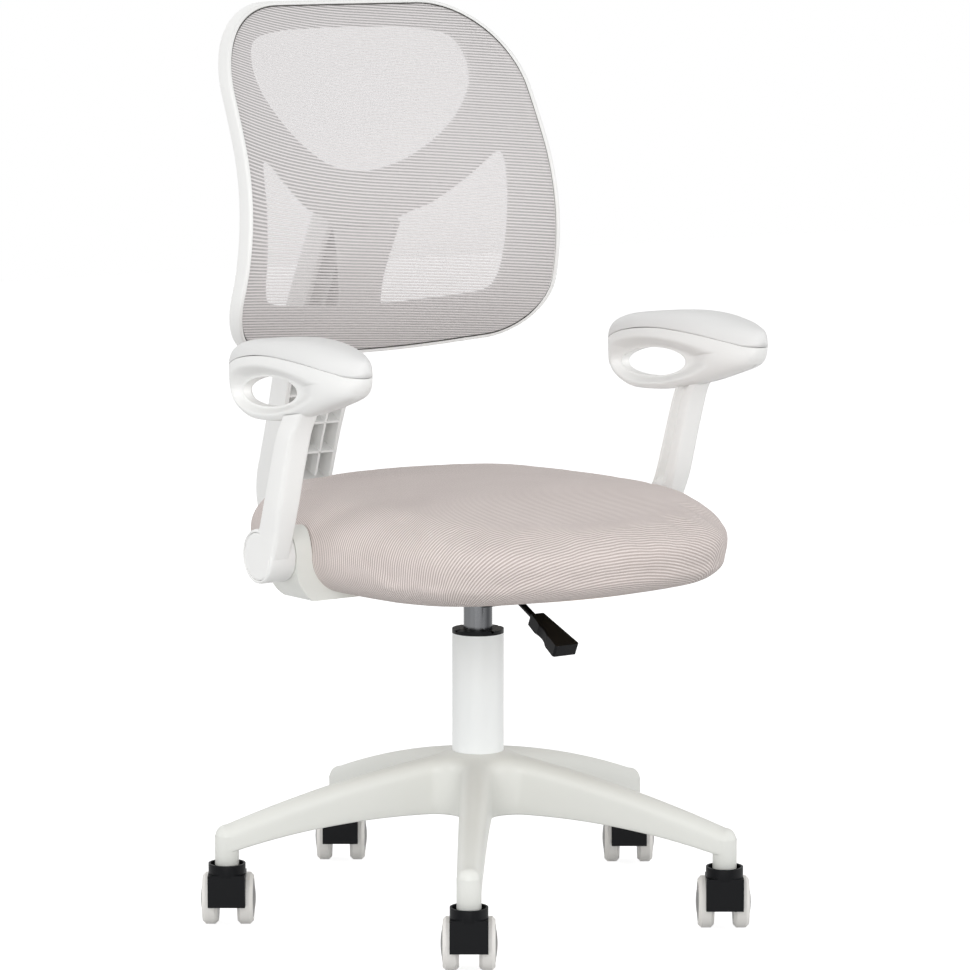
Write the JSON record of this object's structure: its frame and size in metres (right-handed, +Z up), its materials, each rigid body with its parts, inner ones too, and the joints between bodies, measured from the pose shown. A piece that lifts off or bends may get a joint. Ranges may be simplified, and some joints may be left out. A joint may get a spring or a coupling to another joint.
{
  "type": "kids desk chair",
  "caption": "Height-adjustable child's desk chair: star base on casters, rounded padded seat, mesh back on a curved spine, and flip-up arms with hand holds.",
  "frame": {"origin": "on the floor under the column's axis", "axes": "+Z up along the column, the sitter faces -Y, +X is the sitter's left"},
  "size_m": [0.5411, 0.6051, 0.8735],
  "materials": {
    "white_plastic": "moulded, fine satin grain",
    "white_paint": "smooth powder coat",
    "soft_pad": "soft moulded skin, satin",
    "black_plastic": "moulded, satin",
    "grey_plastic": "moulded, satin",
    "pale_tyre": "smooth polyurethane",
    "chrome": "polished hard chrome",
    "steel": "bright zinc",
    "black_paint": "black powder coat",
    "plywood": "raw plywood",
    "seat_cloth": "fine ribbed knit over foam",
    "back_net": "stretched see-through net with cross ribs"
  },
  "bodies": {
    "base": {"star_base": "white_plastic", "column_tube": "white_paint", "guide_bush": "black_plastic", "thrust_bearing": "steel", "caster_stems": "steel"},
    "rod": {"piston_rod": "steel", "rod_clip": "steel"},
    "seat": {"gas_cylinder": "chrome", "mechanism": "black_paint", "seat_board": "plywood", "seat_cushion": "seat_cloth", "frame_bolts": "steel", "arm_bracket_left": "white_plastic", "arm_bracket_right": "white_plastic", "pivot_pin_left": "steel", "pivot_pin_right": "steel", "back_frame": "white_plastic", "back_mesh": "back_net", "back_spine": "white_plastic"},
    "lever": {"lever_rod": "black_paint", "lever_paddle": "black_plastic"},
    "valve": {"release_pin": "steel"},
    "arm_left": {"arm_post_left": "white_plastic", "pivot_cap_left": "white_plastic", "arm_loop_left": "white_plastic", "arm_pad_left": "soft_pad"},
    "arm_right": {"arm_post_right": "white_plastic", "pivot_cap_right": "white_plastic", "arm_loop_right": "white_plastic", "arm_pad_right": "soft_pad"},
    "caster_1": {"caster_1_housing": "black_plastic", "caster_1_axle": "steel"},
    "wheel_1_left": {"caster_1_left_core": "grey_plastic", "caster_1_left_tyre": "pale_tyre"},
    "wheel_1_right": {"caster_1_right_core": "grey_plastic", "caster_1_right_tyre": "pale_tyre"},
    "caster_2": {"caster_2_housing": "black_plastic", "caster_2_axle": "steel"},
    "wheel_2_left": {"caster_2_left_core": "grey_plastic", "caster_2_left_tyre": "pale_tyre"},
    "wheel_2_right": {"caster_2_right_core": "grey_plastic", "caster_2_right_tyre": "pale_tyre"},
    "caster_3": {"caster_3_housing": "black_plastic", "caster_3_axle": "steel"},
    "wheel_3_left": {"caster_3_left_core": "grey_plastic", "caster_3_left_tyre": "pale_tyre"},
    "wheel_3_right": {"caster_3_right_core": "grey_plastic", "caster_3_right_tyre": "pale_tyre"},
    "caster_4": {"caster_4_housing": "black_plastic", "caster_4_axle": "steel"},
    "wheel_4_left": {"caster_4_left_core": "grey_plastic", "caster_4_left_tyre": "pale_tyre"},
    "wheel_4_right": {"caster_4_right_core": "grey_plastic", "caster_4_right_tyre": "pale_tyre"},
    "caster_5": {"caster_5_housing": "black_plastic", "caster_5_axle": "steel"},
    "wheel_5_left": {"caster_5_left_core": "grey_plastic", "caster_5_left_tyre": "pale_tyre"},
    "wheel_5_right": {"caster_5_right_core": "grey_plastic", "caster_5_right_tyre": "pale_tyre"}
  },
  "joints": [
    {"name": "swivel", "type": "hinge", "parent": "base", "child": "rod", "pos_m": [0, 0, 0.2], "axis": [0, 0, 1], "continuous": true},
    {"name": "height", "type": "slide", "parent": "rod", "child": "seat", "axis": [0, 0, 1], "range_m": [-0.022, 0.05]},
    {"name": "lever_lift", "type": "hinge", "parent": "seat", "child": "lever", "pos_m": [0, -0.05, 0.323], "axis": [-1, 0, 0], "range_deg": [0, 4.6], "stiffness_Nm_per_rad": 0.3},
    {"name": "valve_press", "type": "slide", "parent": "seat", "child": "valve", "axis": [0, 0, -1], "range_m": [0, 0.0042]},
    {"name": "arm_left_flip", "type": "hinge", "parent": "seat", "child": "arm_left", "pos_m": [-0.223, 0.01958, 0.36666], "axis": [-1, 0, 0], "range_deg": [0, 90]},
    {"name": "arm_right_flip", "type": "hinge", "parent": "seat", "child": "arm_right", "pos_m": [0.223, 0.01958, 0.36666], "axis": [-1, 0, 0], "range_deg": [0, 90]},
    {"name": "caster_1_swivel", "type": "hinge", "parent": "base", "child": "caster_1", "pos_m": [-0.14759, -0.20092, 0.05], "axis": [0, 0, 1], "continuous": true},
    {"name": "wheel_1_left_roll", "type": "hinge", "parent": "caster_1", "child": "wheel_1_left", "pos_m": [-0.13739, -0.18608, 0.025], "axis": [-0.8241, 0.5664, 0], "continuous": true},
    {"name": "wheel_1_right_roll", "type": "hinge", "parent": "caster_1", "child": "wheel_1_right", "pos_m": [-0.13739, -0.18608, 0.025], "axis": [-0.8241, 0.5664, 0], "continuous": true},
    {"name": "caster_2_swivel", "type": "hinge", "parent": "base", "child": "caster_2", "pos_m": [0.14548, -0.20245, 0.05], "axis": [0, 0, 1], "continuous": true},
    {"name": "wheel_2_left_roll", "type": "hinge", "parent": "caster_2", "child": "wheel_2_left", "pos_m": [0.15567, -0.18762, 0.025], "axis": [-0.8241, 0.5664, 0], "continuous": true},
    {"name": "wheel_2_right_roll", "type": "hinge", "parent": "caster_2", "child": "wheel_2_right", "pos_m": [0.15567, -0.18762, 0.025], "axis": [-0.8241, 0.5664, 0], "continuous": true},
    {"name": "caster_3_swivel", "type": "hinge", "parent": "base", "child": "caster_3", "pos_m": [0.2375, 0.0758, 0.05], "axis": [0, 0, 1], "continuous": true},
    {"name": "wheel_3_left_roll", "type": "hinge", "parent": "caster_3", "child": "wheel_3_left", "pos_m": [0.24769, 0.09063, 0.025], "axis": [-0.8241, 0.5664, 0], "continuous": true},
    {"name": "wheel_3_right_roll", "type": "hinge", "parent": "caster_3", "child": "wheel_3_right", "pos_m": [0.24769, 0.09063, 0.025], "axis": [-0.8241, 0.5664, 0], "continuous": true},
    {"name": "caster_4_swivel", "type": "hinge", "parent": "base", "child": "caster_4", "pos_m": [0.0013, 0.2493, 0.05], "axis": [0, 0, 1], "continuous": true},
    {"name": "wheel_4_left_roll", "type": "hinge", "parent": "caster_4", "child": "wheel_4_left", "pos_m": [0.0115, 0.26413, 0.025], "axis": [-0.8241, 0.5664, 0], "continuous": true},
    {"name": "wheel_4_right_roll", "type": "hinge", "parent": "caster_4", "child": "wheel_4_right", "pos_m": [0.0115, 0.26413, 0.025], "axis": [-0.8241, 0.5664, 0], "continuous": true},
    {"name": "caster_5_swivel", "type": "hinge", "parent": "base", "child": "caster_5", "pos_m": [-0.23669, 0.07828, 0.05], "axis": [0, 0, 1], "continuous": true},
    {"name": "wheel_5_left_roll", "type": "hinge", "parent": "caster_5", "child": "wheel_5_left", "pos_m": [-0.2265, 0.09311, 0.025], "axis": [-0.8241, 0.5664, 0], "continuous": true},
    {"name": "wheel_5_right_roll", "type": "hinge", "parent": "caster_5", "child": "wheel_5_right", "pos_m": [-0.2265, 0.09311, 0.025], "axis": [-0.8241, 0.5664, 0], "continuous": true}
  ],
  "couplings": [
    {"joint": "valve_press", "follows": "lever_lift", "m_per_rad": 0.05}
  ]
}
